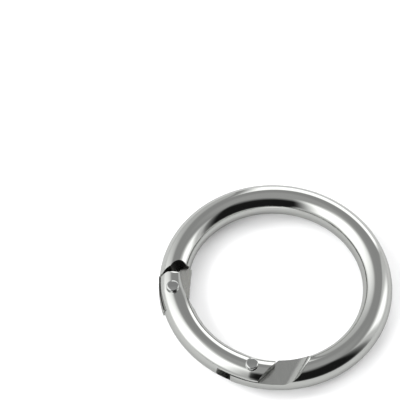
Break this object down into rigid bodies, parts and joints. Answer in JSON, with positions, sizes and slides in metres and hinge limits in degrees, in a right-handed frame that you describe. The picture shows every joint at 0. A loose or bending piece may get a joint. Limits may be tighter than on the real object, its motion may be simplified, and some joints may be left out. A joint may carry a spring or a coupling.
{
  "type": "spring gate ring",
  "caption": "Round metal bag ring with a pinned, sprung gate that swings inwards to let a strap or loop in and closes on a hook.",
  "frame": {"origin": "centre of the ring in its middle plane", "axes": "+Z along the ring's axis; the middle of the gate is towards -X, its hinge end towards +Y and its latch end towards -Y"},
  "size_m": [0.0334, 0.0334, 0.0052],
  "materials": {
    "plated_body": "polished",
    "plated_gate": "polished",
    "rivet_steel": "gloss",
    "spring_steel": "gloss",
    "plunger_steel": "gloss"
  },
  "bodies": {
    "ring": {"ring_body": "plated_body"},
    "gate": {"gate": "plated_gate", "hinge_rivet": "rivet_steel", "latch_rivet": "rivet_steel", "gate_spring": "spring_steel"},
    "plunger": {"spring_plunger": "plunger_steel"}
  },
  "joints": [
    {"name": "gate_hinge", "type": "hinge", "parent": "ring", "child": "gate", "pos_m": [-0.01229, 0.00842, 0], "axis": [0, 0, 1], "range_deg": [0, 30], "stiffness_Nm_per_rad": 0.001, "springref_deg": -85.94},
    {"name": "plunger_slide", "type": "slide", "parent": "gate", "child": "plunger", "axis": [-0.3811, -0.9245, 0], "range_m": [0, 0.00035], "deforming": ["gate_spring"]}
  ],
  "couplings": [
    {"joint": "plunger_slide", "follows": "gate_hinge", "m_per_rad": 0.0006}
  ]
}
